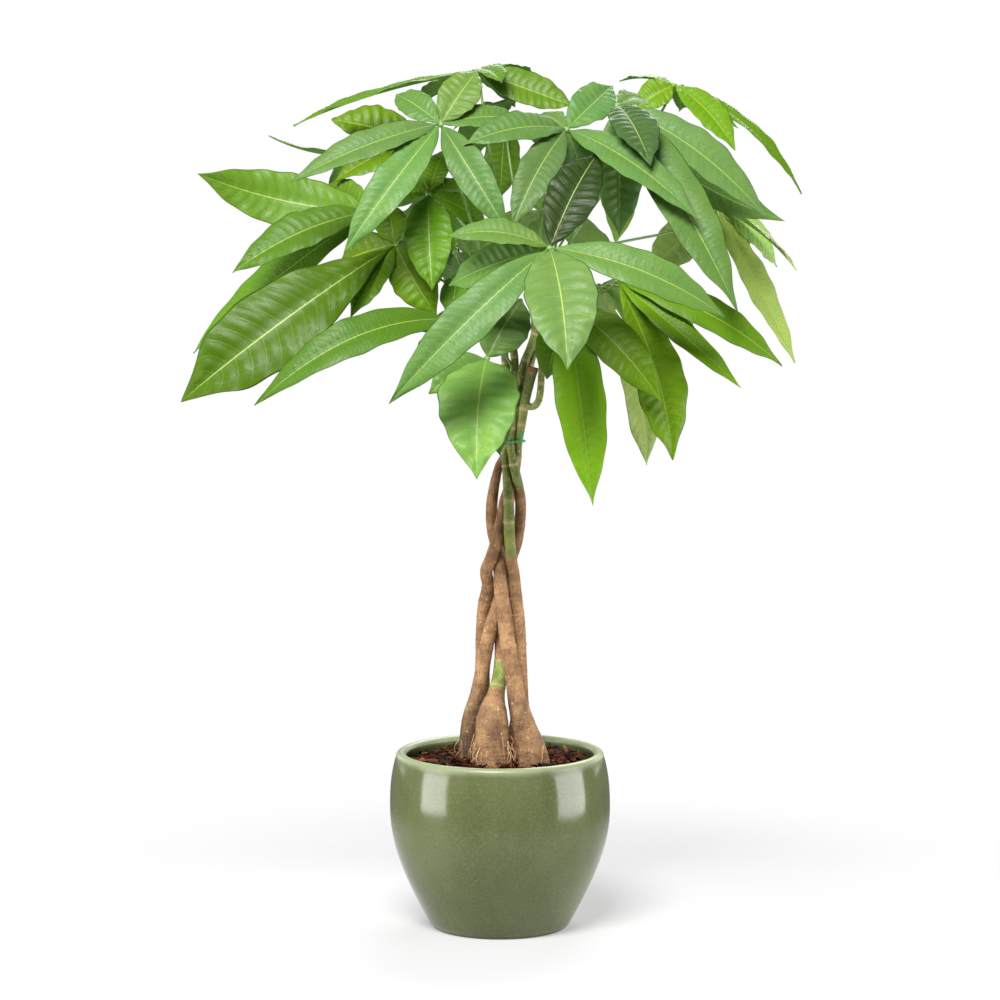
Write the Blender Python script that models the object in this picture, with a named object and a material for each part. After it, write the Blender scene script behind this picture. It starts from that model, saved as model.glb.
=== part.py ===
"""Money tree (Pachira aquatica) in a glazed pot: five plaited seedlings, wired together at the top of the
plait, whose shoots carry palmate leaves. Metres, +Z up, the origin at the middle of the pot's foot, and the
plant's front towards -Y. The plant's tables are in millimetres, and MM turns them into metres.
"""

import math
from collections import namedtuple

import bmesh
import bpy
from mathutils import Vector

MM = 0.001
GAP = 0.0003  # the space kept between touching pieces
UP = Vector((0.0, 0.0, 1.0))
FRONT = Vector((0.0, -1.0, 0.0))

# The pot, turned about Z.
POT_HEIGHT = 0.195
FOOT_RADIUS = 0.075
BELLY_RADIUS = 0.121
BELLY_HEIGHT = 0.133
LIP_RADIUS = 0.1125
SHOULDER_POWER = 2.4  # how late the pot curves in above its belly
WALL = 0.0115
FLOOR = 0.012
BELLY_STEPS = 5
SHOULDER_STEPS = 3
LIP_STEPS = 4
POT_SIDES = 36

# The potting mix, which fills the pot to just below its lip.
SOIL_LEVEL = 0.182
SOIL_MOUND = 0.006
SOIL_RINGS = 2

# The seedlings.
STEM_SIDES = 8
STEM_STEPS = 2  # rings between two points of a centre line
SCAR_LIFT = 0.25  # how far a shoot's rounded tip goes on, in radii

# The wire tie round the top of the plait.
TIE_CENTRE = (0.0140, 0.0, 0.537)
TIE_RADIUS = 0.0134
TIE_WIRE = 0.0009
TIE_SIDES = 24
TIE_WIRE_SIDES = 5

# The leaves.
PETIOLE_RADIUS = 0.0016
PETIOLE_SIDES = 5
PETIOLE_RINGS = 6
HUB_RADIUS = 0.0044
MIDRIB_TOP = 0.0004
MIDRIB_UNDER = 0.0010
BLADE_STATIONS = (0.0, 0.08, 0.30, 0.58, 0.84)
HUB_SIDES = 6
STALK_SHARE = 0.07  # how much of a leaflet's length is its stalk
STALK_WIDTH = 0.03  # half width of the stalk, for each unit of the blade's width
THIN_SOLVER = "MANIFOLD"  # where thin blades meet in a hub, the exact solver drops faces
KEEL = 0.16  # how far a blade's edges stand above its midrib, for each unit of half width

Stem = namedtuple("Stem", "name points")
Leaf = namedtuple("Leaf", "name shoot height hub facing leaflets")

# Each seedling's centre line: x, y, z and radius in millimetres, from the buried base to the shoot's tip.
STEMS = (
    Stem("seedling_front_right", (
        (37, -25, 150, 17.0), (35, -25, 190, 18.5), (26, -25, 226, 13.5), (19, -24, 253, 10.5),
        (14, -22, 285, 9.0), (8, -20, 320, 8.6), (4, -17, 355, 8.0), (1, -15, 375, 7.7),
        (0, -10, 392, 7.4), (-1, -1, 410, 7.1), (-6, 5, 430, 6.8), (-9, 8, 450, 6.5),
        (-8, 8, 475, 6.0), (-2, 8, 505, 4.7), (5, 9, 520, 4.3), (12.2, 7.6, 533, 4.1), (12.5, 8, 557, 4.4),
        (17, 7, 590, 4.5), (14, 2, 640, 4.2), (0, -4, 690, 3.8),
    )),
    Stem("seedling_left", (
        (-36, 2, 150, 11.0), (-35, 2, 190, 11.5), (-31, 0, 230, 10.6), (-24, -5, 260, 8.3),
        (-17, -6, 298, 7.7), (-11, -6, 329, 7.4), (-3, -1, 355, 7.1), (2, 3, 375, 7.0),
        (8, 4, 392, 6.9), (13, 4, 410, 6.7), (19, 2, 430, 6.5), (22.5, -2, 462, 6.0),
        (20, -6.5, 488, 5.4), (14.5, -8.3, 514, 4.7), (11.5, -6.9, 533, 4.1), (14, -6.5, 557, 4.6),
        (19.5, -4, 586, 4.6), (25, -2, 618, 4.5), (37, 3, 650, 4.3), (53, 7, 715, 3.8),
    )),
    Stem("seedling_centre", (
        (-8, -26, 150, 18.0), (-8, -27, 190, 20.5), (-8, -26, 238, 16.5), (-4, -18, 262, 9.2),
        (1, -7, 285, 8.2), (2, 3, 309, 7.8), (0, 13, 332, 7.5), (2, 17, 360, 7.3),
        (4, 20, 392, 7.0), (5, 19, 430, 6.7), (8, 18, 460, 6.2), (14, 16, 490, 5.4),
        (18.5, 13, 512, 4.7), (20.1, 4.1, 533, 4.1), (22, 4.5, 557, 4.4), (27, 6, 590, 4.5),
        (33, 12, 618, 4.4), (38, 20, 650, 4.2), (35, 30, 715, 3.8),
    )),
    Stem("seedling_back_right", (
        (23, 20, 150, 14.5), (22, 20, 190, 15.5), (22, 15, 226, 11.0), (22, 6, 262, 8.6),
        (21, -2, 307, 8.0), (20, -5, 337, 7.7), (17, -8, 365, 7.2), (15, -10, 392, 6.6),
        (12, -13, 412, 6.3), (10, -14.5, 440, 6.0), (9.5, -12, 470, 5.7), (7.5, -4.5, 500, 4.9),
        (5.8, -1.5, 518, 4.5), (6.3, 0, 533, 4.1), (6, -1, 557, 4.4), (9, 1, 590, 4.4),
        (4, 8, 640, 4.2), (0, 22, 705, 3.8),
    )),
    Stem("seedling_back_left", (
        (-14, 26, 150, 13.0), (-14, 26, 190, 14.0), (-17, 18, 226, 10.5), (-19, 12, 262, 8.4),
        (-19, 10, 300, 8.0), (-19, 8, 332, 7.4), (-17, 4, 355, 7.3), (-13, -4, 378, 7.0),
        (-15, -10.5, 395, 6.8), (-9, -14, 412, 6.7), (-3, -11, 430, 6.7), (1, -4, 448, 6.4),
        (5, 0, 470, 5.9), (11, 3, 490, 5.3), (17.5, 2, 510, 4.7), (19.8, -4.5, 533, 4.1),
        (23.5, -7.5, 557, 4.8), (28, -9, 585, 5.2), (36, -9, 618, 5.7),
    )),
)
# The seedling whose tip was cut off, and the side shoot that took over from it.
CUT_SEEDLING = "seedling_back_left"
SIDE_SHOOT = Stem("side_shoot", (
    (26, -9, 580, 3.4), (35, -11, 575, 3.8), (42.5, -12, 584, 3.8), (45, -12, 612, 3.7),
    (46, -14, 650, 3.7), (44, -20, 700, 3.5),
))

# Each leaf: the shoot that it grows on and the height where it does, its hub, the way its upper side faces,
# and its leaflets. A leaflet is its tip's place from the hub in x, y and z, its width, how far its back bows
# up (down where negative), and how strongly its upper side turns to the front, beside the way that the whole
# leaf faces. Lengths are in millimetres.
LEAVES = (
    Leaf("leaf_upper_front_left", "seedling_front_right", 686, (-63, -60, 881), (-0.2, -0.8, 0.6), (
        (39, 40, 56, 44, 8, 1), (-157, -45, -60, 38, 16, 0), (-101, -70, -133, 44, 18, 1),
        (72, -55, -113, 40, 14, 1), (86, 30, 5, 32, 8, 0), (-49, 55, 31, 34, 8, 0))),
    Leaf("leaf_upper_front", "side_shoot", 697, (71, -40, 875), (0.1, -0.7, 0.7), (
        (51, 75, 46, 44, 8, 1), (137, -92, -92, 46, 18, 0), (-59, -75, -103, 42, 14, 0.5),
        (-110, -50, -16, 42, 12, 0), (-30, 50, 14, 28, 6, 0), (18, 45, -70, 38, 10, 1))),
    Leaf("leaf_middle_front", "side_shoot", 684, (52, -150, 754), (0.0, -0.65, 0.75), (
        (17, -110, -119, 76, 14, 1), (-167, -50, -159, 50, 24, 1), (184, -5, -73, 46, 28, 0.5),
        (-107, 10, 11, 38, 12, 0), (52, 74, 97, 54, 10, 1), (-107, 60, -43, 44, 10, 1))),
    Leaf("leaf_middle_front_left", "seedling_back_right", 690, (-77, -20, 806), (-0.1, -0.8, 0.6), (
        (5, -60, -101, 52, 10, 1), (-58, 58, -14, 34, 8, 0), (-10, 66, 28, 28, 6, 0),
        (18, 55, 45, 30, 6, 0), (56, 60, -8, 32, 8, 0), (64, 25, -38, 30, 8, 0))),
    Leaf("leaf_lower_left", "seedling_front_right", 645, (-112, -30, 751), (-0.5, -0.45, 0.75), (
        (-226, -80, -162, 90, 30, 2), (-8, 30, 40, 36, 6, 1), (44, -20, -74, 48, 10, 1),
        (-48, -30, -76, 36, 8, 1), (-62, 20, -22, 46, 6, 1), (24, 50, -15, 30, 6, 0))),
    Leaf("leaf_middle_left", "seedling_back_right", 668, (-139, 25, 785), (-0.5, -0.3, 0.8), (
        (-190, 0, 41, 62, -38, 2), (-149, -50, -64, 50, 16, 1), (-58, 85, 22, 36, 8, 1),
        (-125, 95, -85, 44, 14, 1), (-199, 40, -158, 46, 20, 1))),
    Leaf("leaf_lower_front_left", "seedling_front_right", 614, (-48, -60, 673), (-0.4, -0.5, 0.75), (
        (-210, -82, -85, 46, 42, 1), (-38, 0, -72, 36, 8, 1), (-30, 80, -20, 34, 8, 0),
        (10, 60, 50, 34, 8, 0))),
    Leaf("leaf_lower_front", "seedling_left", 588, (-14, -70, 632), (-0.1, -0.75, 0.65), (
        (-10, -100, -118, 86, 16, 1), (-62, -20, -36, 40, 10, 1), (38, 30, 62, 58, 6, 1),
        (14, 10, -105, 40, 10, 1))),
    Leaf("leaf_lower_front_right", "side_shoot", 640, (70, -70, 693), (0.2, -0.8, 0.5), (
        (28, -60, -212, 54, 20, 1), (102, -40, -104, 48, 16, 1), (-20, 25, -85, 42, 10, 1),
        (20, 50, 10, 34, 6, 0))),
    Leaf("leaf_lower_right", "seedling_left", 655, (125, -50, 714), (0.4, -0.5, 0.75), (
        (177, -10, -91, 40, 32, 1), (130, -60, -110, 30, 12, 1), (90, 55, -71, 42, 10, 1),
        (60, -20, -191, 58, 18, 1), (48, 62, -16, 38, 8, 0))),
    Leaf("leaf_upper_right", "seedling_left", 690, (126, -20, 900), (0.3, -0.45, 0.85), (
        (160, -5, -120, 48, 20, 1), (185, 60, -126, 54, -26, 1), (32, -100, -61, 50, 10, 1),
        (30, 62, 4, 32, 6, 0), (123, -115, -213, 58, 24, 1), (2, -12, -138, 52, 10, 1))),
    Leaf("leaf_top_right", "seedling_left", 712, (191, 80, 921), (0.3, -0.2, 0.9), (
        (142, 15, -120, 33, 20, 0.2), (75, 70, -48, 34, 2, 0.5), (65, -45, -70, 38, 10, 1),
        (-42, -10, -25, 36, 6, 1), (-59, 30, 4, 30, 6, 0), (10, 90, -30, 38, 8, 0))),
    Leaf("leaf_top_left", "seedling_centre", 704, (-23, 40, 936), (-0.1, -0.1, 1.0), (
        (-201, -20, -58, 42, 8, 0), (60, 45, -2, 34, 6, 0), (105, -10, -38, 42, 0, 1.5),
        (25, -50, -12, 34, 6, 0), (-70, 110, -45, 42, 10, 0), (40, 130, -40, 42, 10, 0))),
    Leaf("leaf_top_back", "seedling_centre", 712, (6, 100, 890), (0.0, 0.3, 1.0), (
        (-20, -60, 8, 34, 6, 0), (-6, 25, -95, 40, 8, 1), (-57, -30, -17, 36, 6, 0.5),
        (-50, 130, -70, 46, 14, 0), (60, 120, -60, 46, 14, 0))),
    Leaf("leaf_middle_right", "seedling_left", 700, (239, 120, 787), (0.5, 0.0, 0.85), (
        (72, 42, -70, 40, 10, 1), (88, -45, -69, 36, 8, 0), (90, -10, -174, 38, 6, 1),
        (-72, 20, -74, 50, 8, 1), (35, 125, -80, 44, 12, 0))),
    Leaf("leaf_middle_back", "seedling_centre", 693, (46, 110, 781), (0.0, 0.5, 0.85), (
        (-23, -60, 32, 30, 4, 0), (-31, 60, 6, 34, 6, 0), (0, 170, -70, 50, 16, 0),
        (95, 120, -80, 48, 14, 0), (-85, 110, -70, 48, 14, 0))),
    Leaf("leaf_upper_back_left", "seedling_back_right", 702, (-88, 100, 860), (-0.3, 0.3, 0.9), (
        (-98, -10, 23, 54, 4, 1.5), (-171, 60, 4, 32, -20, 0), (-94, -30, -44, 44, 10, 1.5),
        (-110, 110, -60, 46, 14, 0), (-20, 150, -60, 46, 14, 0))),
    Leaf("leaf_lower_back_right", "seedling_centre", 660, (110, 90, 700), (0.3, 0.5, 0.8), (
        (52, -30, -196, 50, 18, 1), (85, 60, -15, 46, 10, 0), (50, 150, -70, 50, 16, 0),
        (-30, 160, -100, 48, 16, 0))),
    Leaf("leaf_lower_back_left", "seedling_back_right", 645, (-50, 135, 735), (-0.3, 0.5, 0.8), (
        (-48, 60, 12, 40, 8, 0), (-40, 170, -70, 50, 16, 0), (25, 160, -100, 50, 16, 0),
        (40, 50, -60, 40, 10, 0))),
    Leaf("leaf_back_left", "seedling_back_right", 684, (-60, 190, 800), (-0.2, 0.6, 0.8), (
        (-150, 10, -60, 46, 16, 0), (-70, 140, -100, 46, 14, 0), (45, 125, -100, 46, 14, 0),
        (64, 25, -34, 38, 10, 0))),
    Leaf("leaf_back_right", "seedling_centre", 680, (120, 180, 830), (0.3, 0.5, 0.85), (
        (120, 10, -45, 44, 14, 0), (15, 140, -95, 46, 14, 0), (-80, 105, -85, 46, 14, 0),
        (-60, 40, 10, 36, 6, 0))),
)


def clear_scene():
    for old in list(bpy.data.objects):
        bpy.data.objects.remove(old, do_unlink=True)


def material(name, colour, roughness):
    made = bpy.data.materials.new(name)
    made.use_nodes = True
    shader = made.node_tree.nodes["Principled BSDF"]
    shader.inputs["Base Color"].default_value = (*colour, 1.0)
    shader.inputs["Roughness"].default_value = roughness
    shader.inputs["Metallic"].default_value = 0.0
    return made


def add_object(name, rings, own_material):
    """One closed body lofted through rings of points; a ring of one point is a pole."""
    mesh = bpy.data.meshes.new(name)
    loft(mesh, rings)
    made = bpy.data.objects.new(name, mesh)
    bpy.context.scene.collection.objects.link(made)
    mesh.materials.append(own_material)
    mesh.shade_smooth()
    return made


def bridge(bm, first, second):
    """Faces between two neighbouring rings, one of which may be a pole."""
    sides = max(len(first), len(second))
    for side in range(sides):
        after = (side + 1) % sides
        if len(first) == 1:
            bm.faces.new((first[0], second[after], second[side]))
        elif len(second) == 1:
            bm.faces.new((first[side], first[after], second[0]))
        else:
            bm.faces.new((first[side], first[after], second[after], second[side]))


def loft(mesh, rings):
    bm = bmesh.new()
    made = [[bm.verts.new(point) for point in ring] for ring in rings]
    for first, second in zip(made, made[1:]):
        bridge(bm, first, second)
    for end in (made[0], made[-1]):
        if len(end) > 1:
            bm.faces.new(end)
    bmesh.ops.recalc_face_normals(bm, faces=bm.faces)
    bm.to_mesh(mesh)
    bm.free()


def combine(target, other, operation, solver="EXACT"):
    """Joins another body to target or cuts it out of it, and leaves the other one as a guide."""
    modifier = target.modifiers.new(other.name, "BOOLEAN")
    modifier.operation = operation
    modifier.solver = solver
    modifier.object = other
    other.hide_render = True
    other.display_type = "WIRE"


def turned_rings(profile, sides):
    """Rings about Z for a profile of radius and height; a radius of nought is a pole."""
    rings = []
    for radius, height in profile:
        if radius == 0.0:
            rings.append([Vector((0.0, 0.0, height))])
            continue
        turns = [2.0 * math.pi * side / sides for side in range(sides)]
        rings.append([Vector((radius * math.cos(a), radius * math.sin(a), height)) for a in turns])
    return rings


def tube_rings(points, radii, sides):
    """Rings round a path, each turned as little as can be from the one before it."""
    rings = []
    across = None
    for index, point in enumerate(points):
        before = points[max(index - 1, 0)]
        after = points[min(index + 1, len(points) - 1)]
        along = (after - before).normalized()
        if across is None:
            across = along.orthogonal()
        across = (across - along * across.dot(along)).normalized()
        beside = along.cross(across)
        turns = [2.0 * math.pi * side / sides for side in range(sides)]
        rings.append([point + (across * math.cos(a) + beside * math.sin(a)) * radii[index] for a in turns])
    return rings


def smooth_path(points, steps):
    """A Catmull-Rom curve through points of any size, with steps pieces to a span."""
    ends = [points[0] * 2 - points[1], *points, points[-1] * 2 - points[-2]]
    path = []
    for before, start, end, after in zip(ends, ends[1:], ends[2:], ends[3:]):
        for step in range(steps):
            t = step / steps
            path.append(
                start
                + (end - before) * (0.5 * t)
                + (before * 2 - start * 5 + end * 4 - after) * (0.5 * t ** 2)
                + (start * 3 - before - end * 3 + after) * (0.5 * t ** 3)
            )
    return [*path, points[-1]]


def stem_path(stem, steps=STEM_STEPS):
    """The stem's centre line and its radii, in metres."""
    path = smooth_path([Vector(point) * MM for point in stem.points], steps)
    return [point.to_3d() for point in path], [point[3] for point in path]


def stem_at(stem, height):
    """Where the stem's centre line reaches a height, and its radius there."""
    path, radii = stem_path(stem)
    for low, high, low_radius, high_radius in zip(path, path[1:], radii, radii[1:]):
        if low.z <= height <= high.z:
            share = (height - low.z) / (high.z - low.z)
            return low.lerp(high, share), low_radius + (high_radius - low_radius) * share
    return path[-1], radii[-1]


def belly_radius(height):
    """The pot's outer radius at a height."""
    if height < BELLY_HEIGHT:
        rise = math.cos(0.5 * math.pi * (BELLY_HEIGHT - height) / BELLY_HEIGHT)
        return FOOT_RADIUS + (BELLY_RADIUS - FOOT_RADIUS) * rise
    share = (height - BELLY_HEIGHT) / (POT_HEIGHT - BELLY_HEIGHT)
    return BELLY_RADIUS - (BELLY_RADIUS - LIP_RADIUS) * share ** SHOULDER_POWER


def wall_heights(lowest):
    """The heights of the wall's rings, closer together where it curves in at the top."""
    lip_base = POT_HEIGHT - WALL / 2
    below = [lowest + (BELLY_HEIGHT - lowest) * step / BELLY_STEPS for step in range(BELLY_STEPS)]
    shoulder = lip_base - BELLY_HEIGHT
    above = [BELLY_HEIGHT + shoulder * step / SHOULDER_STEPS for step in range(SHOULDER_STEPS + 1)]
    return below + above


def make_pot():
    outside = [(belly_radius(height), height) for height in wall_heights(0.0)]
    inside = [(belly_radius(height) - WALL, height) for height in wall_heights(FLOOR)]
    centre, height = outside[-1][0] - WALL / 2, outside[-1][1]
    turns = [math.pi * step / LIP_STEPS for step in range(1, LIP_STEPS)]
    lip = [(centre + WALL / 2 * math.cos(a), height + WALL / 2 * math.sin(a)) for a in turns]
    profile = [(0.0, 0.0), *outside, *lip, *reversed(inside), (0.0, FLOOR)]
    glaze = material("sage_glaze", (0.19, 0.25, 0.11), 0.15)
    return add_object("pot", turned_rings(profile, POT_SIDES), glaze)


def make_soil():
    """The mix, cut round the seedlings' bases."""
    heights = [height for height in wall_heights(FLOOR + GAP) if height < SOIL_LEVEL] + [SOIL_LEVEL]
    side = [(belly_radius(height) - WALL - 2 * GAP, height) for height in heights]
    edge = side[-1][0]
    shares = [(SOIL_RINGS - ring) / (SOIL_RINGS + 1) for ring in range(SOIL_RINGS)]
    top = [(edge * share, SOIL_LEVEL + SOIL_MOUND * math.cos(0.5 * math.pi * share)) for share in shares]
    profile = [(0.0, heights[0]), *side, *top, (0.0, SOIL_LEVEL + SOIL_MOUND)]
    chips = material("bark", (0.07, 0.03, 0.02), 0.9)
    soil = add_object("potting_mix", turned_rings(profile, POT_SIDES), chips)
    for stem in STEMS:
        path, radii = stem_path(stem)
        buried = [point for point in path if point.z < SOIL_LEVEL + 2 * SOIL_MOUND]
        wider = [radius + GAP for radius in radii[:len(buried)]]
        buried[0] = buried[0] - UP * GAP
        cutter = add_object("hole_" + stem.name, tube_rings(buried, wider, STEM_SIDES), chips)
        combine(soil, cutter, "DIFFERENCE")


def stem_rings(stem):
    """The stem's rings, with a rounded tip unless the tip was cut off."""
    path, radii = stem_path(stem)
    rings = tube_rings(path, radii, STEM_SIDES)
    if stem.name != CUT_SEEDLING:
        rings.append([path[-1] + (path[-1] - path[-2]).normalized() * radii[-1] * SCAR_LIFT])
    return rings


def make_stems():
    bark = material("bark_tan", (0.30, 0.18, 0.10), 0.8)
    for stem in STEMS:
        seedling = add_object(stem.name, stem_rings(stem), bark)
        if stem.name == CUT_SEEDLING:
            combine(seedling, add_object(SIDE_SHOOT.name, stem_rings(SIDE_SHOOT), bark), "UNION")


def make_tie():
    centre = Vector(TIE_CENTRE)
    bm = bmesh.new()
    rings = []
    for side in range(TIE_SIDES):
        turn = 2.0 * math.pi * side / TIE_SIDES
        out = Vector((math.cos(turn), math.sin(turn), 0.0))
        middle = centre + out * TIE_RADIUS
        angles = [2.0 * math.pi * step / TIE_WIRE_SIDES for step in range(TIE_WIRE_SIDES)]
        ring = [middle + (out * math.cos(a) + UP * math.sin(a)) * TIE_WIRE for a in angles]
        rings.append([bm.verts.new(point) for point in ring])
    for first, second in zip(rings, rings[1:] + rings[:1]):
        bridge(bm, first, second)
    bmesh.ops.recalc_face_normals(bm, faces=bm.faces)
    mesh = bpy.data.meshes.new("wire_tie")
    bm.to_mesh(mesh)
    bm.free()
    mesh.materials.append(material("green_wire", (0.02, 0.22, 0.06), 0.4))
    mesh.shade_smooth()
    bpy.context.scene.collection.objects.link(bpy.data.objects.new("wire_tie", mesh))


def blade_width(share):
    """A leaflet's half width along its length, from its stalk to its drawn-out tip, for a width of 1."""
    along = max(share - STALK_SHARE, 0.0) / (1.0 - STALK_SHARE)
    swell = math.sin(math.pi * along ** 0.9) ** 0.9
    return max(STALK_WIDTH, 0.5 * swell)


def blade_rings(hub, facing, leaflet):
    """A leaflet's flat diamond sections, from inside the hub to its tip."""
    reach = Vector(leaflet[:3]) * MM
    width, bow = leaflet[3] * MM, leaflet[4] * MM
    along = reach.normalized()
    face = facing + FRONT * leaflet[5]
    face = (face - along * face.dot(along)).normalized()
    side = along.cross(face)
    rings = []
    for share in BLADE_STATIONS:
        middle = hub + reach * share + face * bow * 4.0 * share * (1.0 - share)
        half = width * blade_width(share)
        edge = face * half * KEEL
        thin = 1.0 - 0.6 * share
        rings.append([
            middle + side * half + edge,
            middle + face * MIDRIB_TOP * thin,
            middle - side * half + edge,
            middle - face * MIDRIB_UNDER * thin,
        ])
    rings.append([hub + reach])
    return rings


def petiole_path(leaf):
    """A leaf stalk's centre line, from its shoot's side to the hub."""
    shoot = next(stem for stem in (*STEMS, SIDE_SHOOT) if stem.name == leaf.shoot)
    foot, radius = stem_at(shoot, leaf.height * MM)
    hub = Vector(leaf.hub) * MM
    span = hub - foot
    out = Vector((span.x, span.y, 0.0)).normalized()
    start = foot + out * (radius + GAP + PETIOLE_RADIUS)
    reach = span.length
    leave = start + (out * 0.5 + UP).normalized() * reach * 0.35
    arrive = hub - Vector(leaf.facing).normalized() * reach * 0.25
    path = []
    for ring in range(PETIOLE_RINGS):
        t = ring / (PETIOLE_RINGS - 1)
        s = 1.0 - t
        path.append(start * s ** 3 + leave * 3 * s * s * t + arrive * 3 * s * t * t + hub * t ** 3)
    return path


def make_leaf(leaf, green):
    hub = Vector(leaf.hub) * MM
    facing = Vector(leaf.facing).normalized()
    path = petiole_path(leaf)
    body = add_object(leaf.name, tube_rings(path, [PETIOLE_RADIUS] * len(path), PETIOLE_SIDES), green)
    profile = [(0.0, -HUB_RADIUS), (HUB_RADIUS, 0.0), (0.0, HUB_RADIUS)]
    knob_rings = [[hub + point for point in ring] for ring in turned_rings(profile, HUB_SIDES)]
    knob = add_object(leaf.name + "_hub", knob_rings, green)
    combine(body, knob, "UNION", THIN_SOLVER)
    for number, leaflet in enumerate(leaf.leaflets, start=1):
        blade = add_object(f"{leaf.name}_leaflet_{number}", blade_rings(hub, facing, leaflet), green)
        combine(body, blade, "UNION", THIN_SOLVER)


clear_scene()
make_pot()
make_soil()
make_stems()
make_tie()
LEAF_GREEN = material("leaf_green", (0.05, 0.19, 0.02), 0.4)
for each_leaf in LEAVES:
    make_leaf(each_leaf, LEAF_GREEN)
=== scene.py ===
"""The looks of the potted money tree: fine leaves, bark, mulch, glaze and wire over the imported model."""
import math
from collections import namedtuple

import bpy
import numpy as np
from mathutils import Matrix, Vector, noise


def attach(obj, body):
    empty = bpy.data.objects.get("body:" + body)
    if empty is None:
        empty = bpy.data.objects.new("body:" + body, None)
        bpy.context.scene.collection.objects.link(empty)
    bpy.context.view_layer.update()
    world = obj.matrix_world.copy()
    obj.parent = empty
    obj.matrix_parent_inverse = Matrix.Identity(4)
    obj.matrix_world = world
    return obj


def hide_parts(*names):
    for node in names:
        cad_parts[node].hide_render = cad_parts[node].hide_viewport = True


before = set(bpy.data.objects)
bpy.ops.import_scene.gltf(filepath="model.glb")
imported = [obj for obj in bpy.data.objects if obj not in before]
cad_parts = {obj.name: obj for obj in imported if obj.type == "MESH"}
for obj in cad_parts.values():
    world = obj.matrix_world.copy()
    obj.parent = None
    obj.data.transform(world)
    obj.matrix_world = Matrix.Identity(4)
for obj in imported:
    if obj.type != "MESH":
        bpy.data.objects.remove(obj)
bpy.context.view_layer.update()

MM = 0.001
UP = Vector((0.0, 0.0, 1.0))
FRONT = Vector((0.0, -1.0, 0.0))
BODY = "root"

# The pot, as in the CAD model.
POT_HEIGHT = 0.195
FOOT_RADIUS = 0.075
BELLY_RADIUS = 0.121
BELLY_HEIGHT = 0.133
LIP_RADIUS = 0.1125
SHOULDER_POWER = 2.4
WALL = 0.0115
FLOOR = 0.012
SOIL_LEVEL = 0.182
SOIL_MOUND = 0.006

Stem = namedtuple("Stem", "name stained green points")
Leaf = namedtuple("Leaf", "name shoot height tone hub facing leaflets")

# Each seedling: how much darker its foot is in mottled patches, the spans of height in metres where its bark
# is green, and its centre line in millimetres, x, y, z and radius, as in the CAD model.
STEMS = (
    Stem("seedling_front_right", 0.55, ((0.515, 0.72),), (
        (37, -25, 150, 17.0), (35, -25, 190, 18.5), (26, -25, 226, 13.5), (19, -24, 253, 10.5),
        (14, -22, 285, 9.0), (8, -20, 320, 8.6), (4, -17, 355, 8.0), (1, -15, 375, 7.7),
        (0, -10, 392, 7.4), (-1, -1, 410, 7.1), (-6, 5, 430, 6.8), (-9, 8, 450, 6.5),
        (-8, 8, 475, 6.0), (-2, 8, 505, 4.7), (5, 9, 520, 4.3), (12.2, 7.6, 533, 4.1),
        (12.5, 8, 557, 4.4), (17, 7, 590, 4.5), (14, 2, 640, 4.2), (0, -4, 690, 3.8),
    )),
    Stem("seedling_left", 1.35, ((0.482, 0.72),), (
        (-36, 2, 150, 11.0), (-35, 2, 190, 11.5), (-31, 0, 230, 10.6), (-24, -5, 260, 8.3),
        (-17, -6, 298, 7.7), (-11, -6, 329, 7.4), (-3, -1, 355, 7.1), (2, 3, 375, 7.0),
        (8, 4, 392, 6.9), (13, 4, 410, 6.7), (19, 2, 430, 6.5), (22.5, -2, 462, 6.0),
        (20, -6.5, 488, 5.4), (14.5, -8.3, 514, 4.7), (11.5, -6.9, 533, 4.1), (14, -6.5, 557, 4.6),
        (19.5, -4, 586, 4.6), (25, -2, 618, 4.5), (37, 3, 650, 4.3), (53, 7, 715, 3.8),
    )),
    Stem("seedling_centre", 0.35, ((0.262, 0.292), (0.52, 0.72)), (
        (-8, -26, 150, 18.0), (-8, -27, 190, 20.5), (-8, -26, 238, 16.5), (-4, -18, 262, 9.2),
        (1, -7, 285, 8.2), (2, 3, 309, 7.8), (0, 13, 332, 7.5), (2, 17, 360, 7.3),
        (4, 20, 392, 7.0), (5, 19, 430, 6.7), (8, 18, 460, 6.2), (14, 16, 490, 5.4),
        (18.5, 13, 512, 4.7), (20.1, 4.1, 533, 4.1), (22, 4.5, 557, 4.4), (27, 6, 590, 4.5),
        (33, 12, 618, 4.4), (38, 20, 650, 4.2), (35, 30, 715, 3.8),
    )),
    Stem("seedling_back_right", 0.7, ((0.408, 0.72),), (
        (23, 20, 150, 14.5), (22, 20, 190, 15.5), (22, 15, 226, 11.0), (22, 6, 262, 8.6),
        (21, -2, 307, 8.0), (20, -5, 337, 7.7), (17, -8, 365, 7.2), (15, -10, 392, 6.6),
        (12, -13, 412, 6.3), (10, -14.5, 440, 6.0), (9.5, -12, 470, 5.7), (7.5, -4.5, 500, 4.9),
        (5.8, -1.5, 518, 4.5), (6.3, 0, 533, 4.1), (6, -1, 557, 4.4), (9, 1, 590, 4.4),
        (4, 8, 640, 4.2), (0, 22, 705, 3.8),
    )),
    Stem("seedling_back_left", 0.7, ((0.512, 0.608),), (
        (-14, 26, 150, 13.0), (-14, 26, 190, 14.0), (-17, 18, 226, 10.5), (-19, 12, 262, 8.4),
        (-19, 10, 300, 8.0), (-19, 8, 332, 7.4), (-17, 4, 355, 7.3), (-13, -4, 378, 7.0),
        (-15, -10.5, 395, 6.8), (-9, -14, 412, 6.7), (-3, -11, 430, 6.7), (1, -4, 448, 6.4),
        (5, 0, 470, 5.9), (11, 3, 490, 5.3), (17.5, 2, 510, 4.7), (19.8, -4.5, 533, 4.1),
        (23.5, -7.5, 557, 4.8), (28, -9, 585, 5.2), (36, -9, 618, 5.7),
    )),
)
CUT_SEEDLING = "seedling_back_left"
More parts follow.
